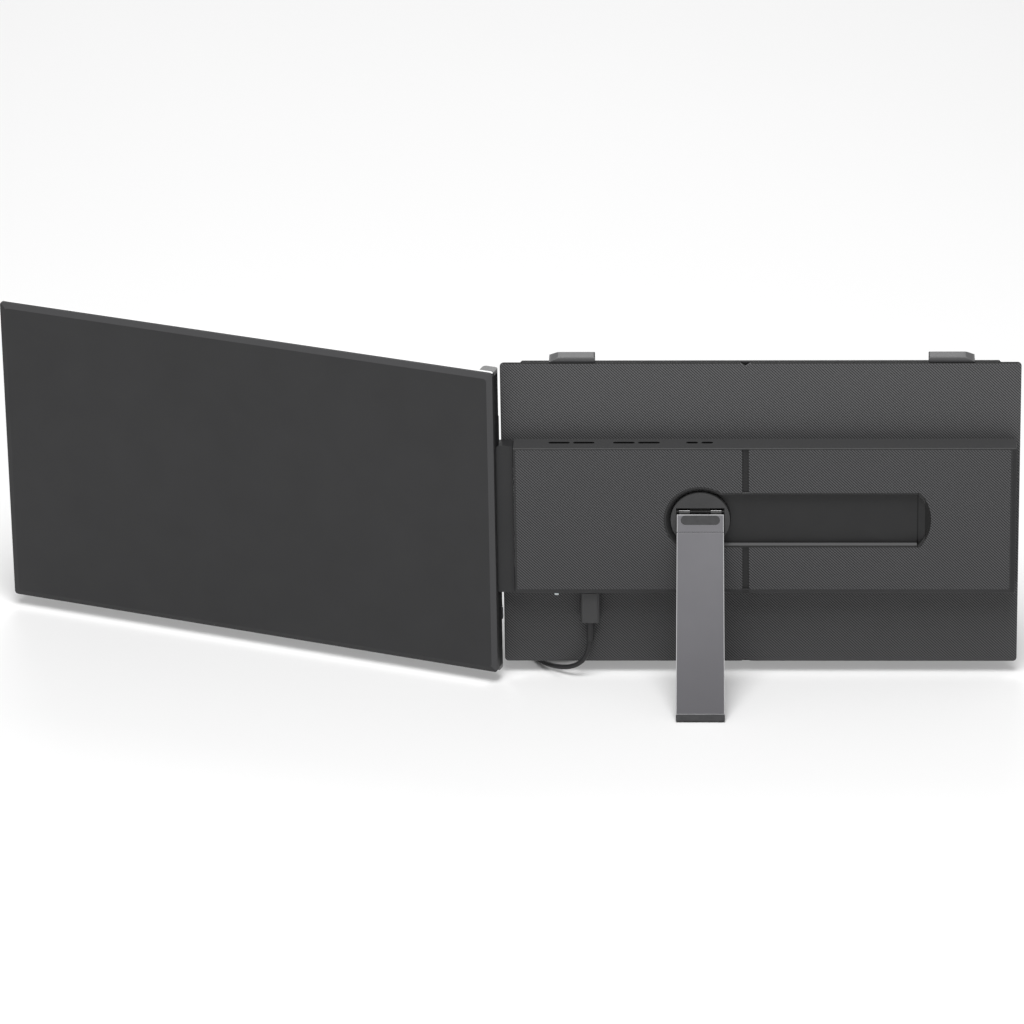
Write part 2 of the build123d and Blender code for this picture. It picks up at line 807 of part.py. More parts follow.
def place_screen(body):
    return Pos(axis_x, hinge_y, 0) * Rot(0, 0, -screen_rest_angle) * body


def screen_back_cover():
    back_w = screen_bevel_w
    back = Plane.XZ.offset(-screen_back_y) * rounded(
        screen_x0 + back_w, screen_x1 - back_w, back_w - screen_top, screen_top - back_w, screen_corner_r)
    rim = Plane.XZ.offset(screen_edge_depth) * rounded(
        screen_x0, screen_x1, -screen_top, screen_top, screen_corner_r)
    body = loft([back, rim])
    outline = rounded(screen_x0, screen_x1, -screen_top, screen_top, screen_corner_r)
    body += prism_y(outline, -screen_edge_depth, screen_front_y - frame_t)
    wall = screen_wall
    body -= block(screen_x0 + wall, screen_x1 - wall, screen_back_y + screen_skin_t, screen_front_y - frame_t,
                  wall - screen_top, screen_top - wall)
    return body


def glass_outline(gap):
    return rounded(glass_x0 + gap, glass_x1 - gap, glass_border + gap - screen_top,
                   screen_top - glass_border - gap, glass_corner_r)


def screen_bezel():
    outline = rounded(screen_x0, screen_x1, -screen_top, screen_top, screen_corner_r)
    body = prism_y(outline, screen_front_y - frame_t, screen_front_y)
    return body - prism_y(glass_outline(0), screen_front_y - frame_t, screen_front_y)


def display_glass():
    return prism_y(glass_outline(static_gap), screen_front_y - glass_t, screen_front_y)


def lcd_module():
    x0 = glass_x0 + part_gap
    z1 = screen_top - glass_border - part_gap
    y0 = screen_back_y + screen_skin_t
    y1 = screen_front_y - glass_t - static_gap
    return block(x0, x0 + lcd_w, y0, y1, z1 - lcd_h, z1)


def driver_board():
    middle = (glass_x0 + glass_x1) / 2
    low = screen_wall + part_gap - screen_top
    y0 = screen_back_y + screen_skin_t
    return block(middle - driver_w / 2, middle + driver_w / 2, y0, y0 + driver_t, low, low + driver_h)


def spine_outline():
    section = polygon((spine_x0, screen_front_y), (screen_x1, screen_front_y), (screen_x1, spine_front_y),
                      (spine_x0, spine_front_y))
    front = section.vertices().group_by(Axis.Y)[-1]
    return fillet(front, spine_edge_r)


def spine(z_ear, z_end, ear_len):
    away = 1 if z_end > z_ear else -1
    cap_z = z_end - away * spine_cap_t
    ear_z = z_ear + away * ear_len
    body = prism_z(spine_outline(), min(z_ear, cap_z), max(z_ear, cap_z))
    body -= block(spine_x0 + spine_wall, screen_x1 - spine_wall, screen_front_y, spine_front_y - spine_wall,
                  min(ear_z, cap_z), max(ear_z, cap_z))
    low = min(z_ear, ear_z)
    high = max(z_ear, ear_z)
    body += block(-barrel_r, barrel_r, spine_front_y - spine_wall, 0, low, high)
    body += rod_z(0, 0, barrel_r, low, high)
    return body - rod_z(0, 0, bush_r + shaft_gap, low, high)


def spine_upper():
    return spine(arm_z1 + part_gap, screen_top, upper_ear_len)


def button_spot(n):
    room_top = arm_z0 - lower_ear_len - 3 * part_gap - hinge_pin_head_len
    room = room_top + screen_top - spine_cap_t
    pitch = room / len(button_names)
    return (spine_x0 + screen_x1) / 2, room_top - pitch / 2 - n * pitch


def spine_lower():
    body = spine(arm_z0 - part_gap, -screen_top, lower_ear_len)
    for n in range(len(button_names)):
        x, z = button_spot(n)
        w = button_w / 2 + slide_gap
        h = button_h / 2 + slide_gap
        body -= block(x - w, x + w, spine_front_y - spine_wall, spine_front_y, z - h, z + h)
    return body


def spine_cap(side):
    z_end = side * screen_top
    z_in = z_end - side * spine_cap_t
    return prism_z(spine_outline(), min(z_end, z_in), max(z_end, z_in))


def hinge_bushes():
    bodies = []
    low = arm_z0 - part_gap
    high = arm_z1 + part_gap
    for z0, z1 in ((high, high + upper_ear_len), (low - lower_ear_len, low)):
        tube = rod_z(0, 0, bush_r, z0, z1)
        bodies.append(tube - rod_z(0, 0, hinge_pin_r + shaft_gap, z0, z1))
    return bodies


def button(n):
    x, z = button_spot(n)
    top = spine_front_y + button_proud
    shoulder = spine_front_y - spine_wall - slide_gap
    w = button_w / 2
    h = button_h / 2
    stem = block(x - w, x + w, shoulder, top, z - h, z + h)
    w += button_flange
    h += button_flange
    return stem + block(x - w, x + w, shoulder - button_flange_t, shoulder, z - h, z + h)


# electronics in the band

def board_back_y():
    return port_y + port_t / 2


def board_z():
    return band_z0 + band_wall + part_gap + board_h / 2


def board_screw_xs():
    return (board_x0 + board_screw_inset, board_x1 - board_screw_inset)


def main_board():
    y0 = board_back_y()
    body = block(board_x0, board_x1, y0, y0 + board_t, board_z() - board_h / 2, board_z() + board_h / 2)
    for x in board_screw_xs():
        body -= rod_y(x, board_z(), board_screw_r + shaft_gap, y0, y0 + board_t)
    return body


def board_screws():
    head = board_back_y() + board_t
    return [screw_y(x, board_z(), board_screw_r, board_screw_len, board_screw_head_r, board_screw_head_t,
                    head, 1) for x in board_screw_xs()]


def usb_c_port():
    z0 = band_z0 + port_recess
    z1 = z0 + port_len
    at = Pos(port_x, port_y)
    body = prism_z(at * SlotOverall(port_w, port_t), z0, z1)
    body -= prism_z(at * SlotOverall(port_w - 2 * port_wall, port_t - 2 * port_wall), z0, z0 + port_depth)
    half_w = port_tongue_w / 2
    half_t = port_tongue_t / 2
    return body + block(port_x - half_w, port_x + half_w, port_y - half_t, port_y + half_t,
                        z0 + port_depth - port_tongue_len, z1)


def status_led(gap):
    outline = Pos(led_x, band_y0 + led_inset) * SlotOverall(led_w + 2 * gap, led_t + 2 * gap)
    low = band_z0 - led_proud
    return prism_z(outline, low, low + led_len)


# cable: plugs are drawn at the origin pointing up, with the overmold's end face at z = 0

def plug_shell():
    body = prism_z(SlotOverall(plug_shell_w, plug_shell_t), 0, plug_shell_len)
    mouth = SlotOverall(plug_mouth_w, plug_mouth_t)
    return body - prism_z(mouth, plug_shell_len - plug_mouth_depth, plug_shell_len)


def plug_body():
    return prism_z(RectangleRounded(plug_w, plug_t, plug_edge_r), -plug_len, 0)


def plug_relief():
    middle = -plug_len - relief_len / 2
    body = Pos(0, 0, middle) * Cone(relief_tip_r, relief_root_r, relief_len)
    return body - rod_z(0, 0, cable_d / 2 + shaft_gap, -plug_len - relief_len, -plug_len)


near_plug = Pos(port_x, port_y, band_z0 - plug_standoff)
relief_end_z = band_z0 - plug_standoff - plug_len - relief_len


def cable_route(points):
    runs = [(b - a).length for a, b in zip(points, points[1:])]
    radii = []
    for n in range(1, len(points) - 1):
        before = points[n] - points[n - 1]
        after = points[n + 1] - points[n]
        half_turn = before.get_angle(after) / 2
        radii.append(route_share * min(runs[n - 1], runs[n]) / math.tan(math.radians(half_turn)))
    print("runs", [round(run, 1) for run in runs], "radii", [round(r, 1) for r in radii])
    return FilletPolyline(*points, radius=radii)


def cable_tube(points):
    path = cable_route(points)
    return sweep(Plane(origin=path @ 0, z_dir=path % 0) * Circle(cable_d / 2), path=path)


def lead_points():
    lead_z = coil_z0 + cable_d / 2
    coil_side = coil_x - coil_outer_r + coil_pitch / 2
    start_z = relief_end_z + cable_hidden_in_relief
    return [
        Vector(port_x, port_y, start_z),
        Vector(port_x, port_y, start_z - lead_drop),
        Vector(port_x - lead_bend_side, port_y, start_z - lead_drop - lead_bend_drop),
        Vector(port_x - lead_floor_side, lead_floor_y, lead_z),
        Vector(coil_side, coil_y - coil_meet, lead_z),
    ]


def tail_frame():
    z = desk_z + plug_t / 2
    turn = math.radians(tail_turn)
    start = Vector(coil_x + coil_meet, coil_y + coil_outer_r - coil_pitch / 2, z)
    bend = start + Vector(tail_first_run, 0, 0)
    end = bend + Vector(math.cos(turn), -math.sin(turn), 0) * tail_second_run
    return start, bend, end


def far_plug_place():
    start, bend, end = tail_frame()
    along = (end - bend).normalized()
    origin = end + along * (plug_len + relief_len - cable_hidden_in_relief)
    return Plane(origin=origin, x_dir=Vector(along.Y, -along.X, 0), z_dir=along).location


def frame_section(grow):
    x0 = coil_inner_r - grow
    x1 = coil_outer_r + grow
    z0 = coil_z0 - grow
    z1 = coil_z1 + grow
    return polygon((x0, z0), (x1, z0), (x1, z1), (x0, z1))


def cable_coil():
    section = frame_section(0)
    section = fillet(section.vertices(), cable_d / 2 - shaft_gap)
    ring = revolve(Plane.XZ * section, axis=Axis.Z)
    return Pos(coil_x, coil_y, 0) * ring


def cable_tie():
    section = frame_section(static_gap + tie_t) - frame_section(static_gap)
    ring = revolve(Plane.XZ * section, axis=Axis.Z, revolution_arc=tie_arc)
    return Pos(coil_x, coil_y, 0) * Rot(0, 0, -tie_arc / 2) * ring


nodes = {
    "rear_cover": rear_cover(),
    "front_plate": front_plate(),
    "lid_pads": lid_pads(),
    "plate_screws": plate_screws(),
    "band_screws": band_screws(),
    "clip_left": clip(clip_left_x, -1),
    "clip_left_pad": clip_pad(clip_left_x),
    "clip_left_spring": clip_spring(clip_left_x),
    "clip_right": clip(clip_right_x, 1),
    "clip_right_pad": clip_pad(clip_right_x),
    "clip_right_spring": clip_spring(clip_right_x),
    "band_housing": band_housing(),
    "band_end_cap": band_end_cap(),
    "weave_pad_left": weave_pad(band_x0 + weave_pad_side, groove_x0),
    "weave_pad_right": weave_pad(groove_x1, band_body_x1),
    "kickstand_tray": kickstand_tray(),
    "swivel_disc": swivel_disc(),
    "swivel_washer": swivel_washer(),
    "swivel_retainer": swivel_retainer(),
    "swivel_screw": swivel_screw(),
    "leg_hinge_pin": leg_hinge_pin(),
    "leg_plate": place_leg(leg_plate()),
    "leg_inlay": place_leg(leg_inlay()),
    "leg_foot_pad": place_leg(leg_foot_pad()),
    "leg_knuckles": [place_leg(body) for body in leg_knuckles()],
    "arm_knuckle": arm_knuckle(),
    "arm_slider": arm_slider(),
    "arm_screws": arm_screws(),
    "arm_guides": arm_guides(),
    "hinge_pin": hinge_pin(),
    "screen_back_cover": place_screen(screen_back_cover()),
    "screen_bezel": place_screen(screen_bezel()),
    "display_glass": place_screen(display_glass()),
    "lcd_module": place_screen(lcd_module()),
    "driver_board": place_screen(driver_board()),
    "spine_upper": place_screen(spine_upper()),
    "spine_lower": place_screen(spine_lower()),
    "spine_cap_top": place_screen(spine_cap(1)),
    "spine_cap_bottom": place_screen(spine_cap(-1)),
    "hinge_bushes": [place_screen(body) for body in hinge_bushes()],
    "main_board": main_board(),
    "board_screws": board_screws(),
    "usb_c_port": usb_c_port(),
    "status_led": status_led(0),
    "plug_shell": near_plug * plug_shell(),
    "plug_body": near_plug * plug_body(),
    "plug_strain_relief": near_plug * plug_relief(),
    "cable_lead": cable_tube(lead_points()),
    "cable_coil": cable_coil(),
    "cable_tie": cable_tie(),
    "cable_tail": cable_tube(tail_frame()),
    "far_plug_shell": far_plug_place() * plug_shell(),
    "far_plug_body": far_plug_place() * plug_body(),
    "far_strain_relief": far_plug_place() * plug_relief(),
}
for n, name in enumerate(button_names):
    nodes[name] = place_screen(button(n))

os.makedirs("parts", exist_ok=True)
for name, body in nodes.items():
    shape = Compound(children=body) if isinstance(body, list) else body
    export_step(shape, "parts/" + name + ".step")
print(len(nodes), "nodes, desk level", round(desk_z, 2), "leg axis", leg_axis_y, leg_axis_z)
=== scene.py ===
import json
import math

import bmesh
import bpy
from mathutils import Matrix, Vector


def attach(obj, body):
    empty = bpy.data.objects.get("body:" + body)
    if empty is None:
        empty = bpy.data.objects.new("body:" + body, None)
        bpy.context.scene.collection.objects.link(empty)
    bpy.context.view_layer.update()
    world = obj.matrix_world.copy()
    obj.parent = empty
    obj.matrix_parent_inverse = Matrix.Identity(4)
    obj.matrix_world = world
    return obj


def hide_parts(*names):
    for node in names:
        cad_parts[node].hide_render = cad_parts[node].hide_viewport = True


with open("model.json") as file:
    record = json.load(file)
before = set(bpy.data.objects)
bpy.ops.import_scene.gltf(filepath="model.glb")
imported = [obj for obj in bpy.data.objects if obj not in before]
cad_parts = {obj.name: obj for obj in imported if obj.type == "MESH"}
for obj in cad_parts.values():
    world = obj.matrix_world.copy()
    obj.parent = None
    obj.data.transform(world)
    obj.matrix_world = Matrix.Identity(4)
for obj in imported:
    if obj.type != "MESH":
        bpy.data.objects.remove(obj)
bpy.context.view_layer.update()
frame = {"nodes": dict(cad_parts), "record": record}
nodes = frame["nodes"]
record = frame["record"]
scene = bpy.context.scene
MM = 0.001


def mm(x, y, z):
    return Vector((x, y, z)) * MM


# camera: the photograph's viewing angle

AZIMUTH = math.radians(-2.406)
ELEVATION = math.radians(24.866)
ROLL = math.radians(-1.027)
DISTANCE = 3994.5 * MM
TARGET = mm(-150.27, -9.17, 3.43)

forward = Vector((
    math.sin(AZIMUTH) * math.cos(ELEVATION),
    math.cos(AZIMUTH) * math.cos(ELEVATION),
    -math.sin(ELEVATION),
))
level_right = Vector((math.cos(AZIMUTH), -math.sin(AZIMUTH), 0))
level_up = level_right.cross(forward)
right = level_right * math.cos(ROLL) + level_up * math.sin(ROLL)
up = level_up * math.cos(ROLL) - level_right * math.sin(ROLL)
camera_data = bpy.data.cameras.new("camera")
camera_data.lens = 231.9
camera_data.sensor_width = 36
camera_data.clip_start = 0.1
camera_data.clip_end = 50
camera = bpy.data.objects.new("camera", camera_data)
scene.collection.objects.link(camera)
place = Matrix((right, up, -forward)).transposed().to_4x4()
place.translation = TARGET - forward * DISTANCE
camera.matrix_world = place
scene.camera = camera


# cord: the cable from the band's port, its put-away coil and its tail

CABLE_D = 3.0
COIL = (-125.3, 36.0)
COIL_OUTER = 21.7
COIL_PITCH = 3.1
COIL_LOW_Z = -105.97
COIL_HIGH_Z = -102.97
POINTS_PER_TURN = 16
TURNS_IN = 3.25
TURNS = 6.25
LAYER_CHANGE = 0.6

lead = [
    (-103.5, -10.1, -74.4),
    (-103.5, -10.1, -90.55),
    (-114.0, -10.1, -101.85),
    (-134.0, 4.5, -105.97),
]


def coil_point(turn):
    if turn < TURNS_IN:
        radius = COIL_OUTER - COIL_PITCH * turn
    else:
        radius = COIL_OUTER - COIL_PITCH * (2 * TURNS_IN - turn)
    t = min(max((turn - TURNS_IN) / LAYER_CHANGE + 0.5, 0), 1)
    z = COIL_LOW_Z + (COIL_HIGH_Z - COIL_LOW_Z) * t * t * (3 - 2 * t)
    angle = math.pi - 2 * math.pi * turn
    return COIL[0] + radius * math.cos(angle), COIL[1] + radius * math.sin(angle), z


coil = [coil_point(n / POINTS_PER_TURN) for n in range(int(TURNS * POINTS_PER_TURN) + 1)]
tail = [(-113.3, 57.6, -104.0), (-103.3, 57.7, -104.97), (-90.61, 51.78, -104.97)]

route = lead + coil + tail
cable_curve = bpy.data.curves.new("cable", "CURVE")
cable_curve.dimensions = "3D"
cable_curve.bevel_depth = 1.0
cable_curve.bevel_resolution = 6
cable_curve.resolution_u = 8
cable_curve.use_fill_caps = True
spline = cable_curve.splines.new("NURBS")
spline.points.add(len(route) - 1)
for point, at in zip(spline.points, route):
    point.co = (*mm(*at), 1)
    point.radius = CABLE_D / 2 * MM
spline.order_u = 3
spline.use_endpoint_u = True
cable = bpy.data.objects.new("cable", cable_curve)
scene.collection.objects.link(cable)
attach(cable, "bracket")
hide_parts("cable_lead", "cable_coil", "cable_tail")


# material kit

TINT_STOPS = (0.3, 0.7)
UP = (0, 0, 1)
UNLIT = (0.002, 0.002, 0.002)
EDGE_ON = 0.9
LOOKS_UP = 0.7
GENTLE_LEAN = (0.15, 0.6)
SKY_SHARPNESS = 8
BRUSHED = (1, 60, 60)
WEAVE_PITCH_MM = 1.3
WEAVE_WOBBLE = 0.25


class Shader:
    """One node material: a Principled shader whose inputs are driven by object-space textures."""

    def __init__(self, name, color, roughness, **sockets):
        self.material = bpy.data.materials.new(name)
        self.material.use_nodes = True
        self.tree = self.material.node_tree
        self.shader = self.tree.nodes["Principled BSDF"]
        self.color = color
        self.set("Base Color", (*color, 1))
        self.set("Roughness", roughness)
        for socket, value in sockets.items():
            self.set(socket.replace("_", " "), value)
        self.place = self.node("ShaderNodeTexCoord").outputs["Object"]
        self.height = None

    def set(self, socket, value):
        self.shader.inputs[socket].default_value = value

    def node(self, kind, **values):
        made = self.tree.nodes.new(kind)
        for name, value in values.items():
            if hasattr(made, name):
                setattr(made, name, value)
            else:
                made.inputs[name.replace("_", " ")].default_value = value
        return made

    def link(self, source, target):
        self.tree.links.new(source, target)

    def mapped(self, scale=(1, 1, 1), turn=(0, 0, 0)):
        mapping = self.node("ShaderNodeMapping")
        mapping.inputs["Scale"].default_value = scale
        mapping.inputs["Rotation"].default_value = [math.radians(a) for a in turn]
        self.link(self.place, mapping.inputs["Vector"])
        return mapping.outputs["Vector"]

    def noise(self, scale, detail=3.0, vector=None):
        made = self.node("ShaderNodeTexNoise", Scale=scale, Detail=detail)
        self.link(vector or self.place, made.inputs["Vector"])
        return made.outputs["Fac"]

    def wave(self, pitch_mm, vector, distortion=0.0):
        made = self.node("ShaderNodeTexWave", wave_type="BANDS", bands_direction="X", wave_profile="SIN")
        made.inputs["Scale"].default_value = 2 * math.pi / (20 * pitch_mm * MM)
        made.inputs["Distortion"].default_value = distortion
        self.link(vector, made.inputs["Vector"])
        return made.outputs["Fac"]

    def math(self, operation, a, b):
        made = self.node("ShaderNodeMath", operation=operation)
        for socket, value in zip(made.inputs, (a, b)):
            if isinstance(value, (int, float)):
                socket.default_value = value
            else:
                self.link(value, socket)
        return made.outputs[0]

    def ranged(self, source, low, high):
        made = self.node("ShaderNodeMapRange")
        self.link(source, made.inputs["Value"])
        made.inputs["To Min"].default_value = low
        made.inputs["To Max"].default_value = high
        return made.outputs["Result"]

    def tint(self, source, share):
        """Base colour varies by plus or minus share of itself with source."""
        low = [c * (1 - share) for c in self.color]
        high = [min(c * (1 + share), 1) for c in self.color]
        ramp = self.node("ShaderNodeValToRGB")
        stops = ramp.color_ramp.elements
        for n, color in enumerate((low, high)):
            stops[n].color = (*color, 1)
            stops[n].position = TINT_STOPS[n]
        self.link(source, ramp.inputs["Fac"])
        self.link(ramp.outputs["Color"], self.shader.inputs["Base Color"])
        return self

    def gloss(self, source, low, high):
        self.link(self.ranged(source, low, high), self.shader.inputs["Roughness"])
        return self

    def bump(self, source, depth_mm):
        made = self.node("ShaderNodeBump")
        made.inputs["Strength"].default_value = 1
        made.inputs["Distance"].default_value = depth_mm * MM
        self.link(source, made.inputs["Height"])
        if self.height is not None:
            self.link(self.height, made.inputs["Normal"])
        self.height = made.outputs["Normal"]
        self.link(self.height, self.shader.inputs["Normal"])
        return self

    def toward(self, direction):
        """1 where the surface faces along direction in the piece's own frame, -1 against it."""
        normal = self.node("ShaderNodeTexCoord").outputs["Normal"]
        dot = self.node("ShaderNodeVectorMath", operation="DOT_PRODUCT")
        self.link(normal, dot.inputs[0])
        dot.inputs[1].default_value = direction
        return dot.outputs["Value"]

    def along(self, axis):
        """The place along an axis of the part's frame, in metres."""
        parts = self.node("ShaderNodeSeparateXYZ")
        self.link(self.place, parts.inputs[0])
        return parts.outputs[axis]

    def between(self, axis, low_mm, high_mm):
        """1 between two places along an axis of the part's frame."""
        at = self.along(axis)
        return self.math("MULTIPLY", self.math("GREATER_THAN", at, low_mm * MM),
                         self.math("LESS_THAN", at, high_mm * MM))

    def mixed(self, mask, other):
        """Base colour goes from what it is to other with mask."""
        mix = self.node("ShaderNodeMix", data_type="RGBA")
        mix.inputs["A"].default_value = (*self.color, 1)
        mix.inputs["B"].default_value = (*other, 1)
        self.link(mask, mix.inputs["Factor"])
        target = self.shader.inputs["Base Color"]
        if target.is_linked:
            self.link(target.links[0].from_socket, mix.inputs["A"])
        self.link(mix.outputs["Result"], target)
        return self


def fine_coat(name, color, roughness, **sockets):
    """Sprayed matt coat on metal: fine orange peel, faint wear and dust."""
    s = Shader(name, color, roughness, **sockets)
    s.tint(s.noise(35, 4), 0.05)
    s.gloss(s.noise(90, 3), roughness - 0.05, roughness + 0.05)
    s.bump(s.noise(2600, 2), 0.012)
    return s.bump(s.noise(250, 2), 0.005)


def moulded(name, color, roughness, grain_mm=0.5, depth_mm=0.012, **sockets):
    """Moulded plastic with a fine spark-eroded grain."""
    s = Shader(name, color, roughness, **sockets)
    s.tint(s.noise(60, 3), 0.07)
    s.gloss(s.noise(150, 3), roughness - 0.06, roughness + 0.06)
    return s.bump(s.noise(1000 / grain_mm, 3), depth_mm)


def rubber(name, color, roughness):
    s = Shader(name, color, roughness, Specular_IOR_Level=0.3)
    s.tint(s.noise(300, 4), 0.12)
    s.gloss(s.noise(400, 2), roughness - 0.08, roughness + 0.06)
    return s.bump(s.noise(1800, 3), 0.02)


def steel(name, color, roughness):
    """Drawn or brushed metal with fine lines along one direction."""
    s = Shader(name, color, roughness, Metallic=1.0)
    lines = s.noise(60, 4, s.mapped(scale=BRUSHED))
    s.tint(lines, 0.1)
    s.gloss(lines, roughness - 0.08, roughness + 0.1)
    return s.bump(lines, 0.01)


def weave(name, color):
    """Moulded micro-weave: fine diagonal ribs broken by cross ribs, uneven from patch to patch."""
    s = Shader(name, color, 0.55, Specular_IOR_Level=0.25)
    ribs = s.wave(WEAVE_PITCH_MM, s.mapped(turn=(0, 45, 0)), WEAVE_WOBBLE)
    cross = s.wave(WEAVE_PITCH_MM, s.mapped(turn=(0, -45, 0)), WEAVE_WOBBLE)
    share = s.ranged(s.noise(70, 3), 0.4, 1.1)
    rest = s.math("SUBTRACT", 1, share)
    woven = s.math("ADD", s.math("MULTIPLY", ribs, share), s.math("MULTIPLY", cross, rest))
    patches = s.ranged(s.noise(120, 2), 0.55, 1.35)
    swing = s.math("MULTIPLY", s.math("SUBTRACT", woven, 0.5), patches)
    pattern = s.math("ADD", swing, 0.5)
    s.tint(pattern, 0.62)
    s.gloss(s.noise(200, 3), 0.5, 0.62)
    s.bump(pattern, 0.08)
    return s.bump(s.noise(2400, 2), 0.01)


def painted_edge_highlight(finish, direction, highlight_color):
    """Painted highlight: faces that turn away from direction, such as edge bevels, are bright."""
    highlit = finish.math("LESS_THAN", finish.math("ABSOLUTE", finish.toward(direction), 0), EDGE_ON)
    return finish.mixed(highlit, highlight_color)


def banded(finish, axis, low_mm, high_mm, color):
    """A stretch of the surface between two places along an axis has another tone."""
    return finish.mixed(finish.between(axis, low_mm, high_mm), color)


def topped(finish, color):
    """Faces that look up have another tone."""
    return finish.mixed(finish.math("GREATER_THAN", finish.toward(UP), LOOKS_UP), color)


def painted_slope_light(finish, direction, color):
    """Painted light: faces that lean gently towards direction, such as a shallow chamfer, are paler."""
    lean = finish.toward(direction)
    least, most = GENTLE_LEAN
    mask = finish.math("MULTIPLY", finish.math("GREATER_THAN", lean, least),
                       finish.math("LESS_THAN", lean, most))
    return finish.mixed(mask, color)


def skylit(finish, color):
    """Painted highlight: the tone rises steeply on what faces up, as a rolled satin edge looks under a
    large lamp.
    """
    up = finish.math("MAXIMUM", finish.toward(UP), 0)
    return finish.mixed(finish.math("POWER", up, SKY_SHARPNESS), color)


def painted_shade_fade(finish, axis, low_mm, high_mm, shade_color, share=1):
    """Painted shade: a share of the given dark colour is mixed in at the low place, and none at the high
    one.
    """
    at = finish.along(axis)
    span = finish.node("ShaderNodeMapRange")
    finish.link(at, span.inputs["Value"])
    span.inputs["From Min"].default_value = low_mm * MM
    span.inputs["From Max"].default_value = high_mm * MM
    span.inputs["To Min"].default_value = share
    span.inputs["To Max"].default_value = 0
    return finish.mixed(span.outputs["Result"], shade_color)


def painted_shade_box(finish, inside):
    """Painted shade: what lies within the box of low and high places is unlit and dark."""
    mask = 1.0
    for axis, (low_mm, high_mm) in inside.items():
        mask = finish.math("MULTIPLY", finish.between(axis, low_mm, high_mm), mask)
    return finish.mixed(mask, UNLIT)


def circuit(name):
    s = Shader(name, (0.015, 0.09, 0.045), 0.35, Coat_Weight=0.4)
    tracks = s.wave(1.2, s.mapped(), 6.0)
    s.tint(tracks, 0.25)
    return s.bump(tracks, 0.02)


def screen_glass(name):
    s = Shader(name, (0.008, 0.008, 0.01), 0.22, Coat_Weight=0.5, Coat_Roughness=0.12, IOR=1.5)
    s.tint(s.noise(20, 2), 0.1)
    s.gloss(s.noise(3000, 2), 0.2, 0.27)
    return s.bump(s.noise(4000, 1), 0.002)


def strap(name):
    s = Shader(name, (0.02, 0.02, 0.021), 0.9, Sheen_Weight=0.3)
    loops = s.node("ShaderNodeTexVoronoi", Scale=2500)
    s.link(s.place, loops.inputs["Vector"])
    s.tint(loops.outputs["Distance"], 0.4)
    return s.bump(loops.outputs["Distance"], 0.15)


LEG_TILT = math.radians(25)
SCREEN_TURN = math.radians(20)
screen_right = (math.cos(SCREEN_TURN), -math.sin(SCREEN_TURN), 0)
leg_normal = (0, -math.cos(LEG_TILT), math.sin(LEG_TILT))

# places in mm where a finish changes its tone, mostly painted shade and painted shadow; the end cap has
# its own darker tone
COVER_SHADE_FADE = (-75, 50)
PAD_SHADE_FADE = (-40, 30)
LEG_SHADE_FADE = (-100, -20)
GROOVE_SHADE = (-10.85, -6.95)
END_CAP = (151.3, 157.0)
SCOOP_SHADOW_LINE = (94.5, 95.3)
HOUSING_INSIDE_SHADE = {"X": (-147.7, 151.0), "Y": (-17.1, -4.4), "Z": (-46.4, 49.45)}
TROUGH_TOP_SHADOW = {"X": (-16, 95), "Z": (17.9, 19.2)}
SCOOP_END_SHADOW = {"X": (99.2, 104)}
BLACK = (0, 0, 0)

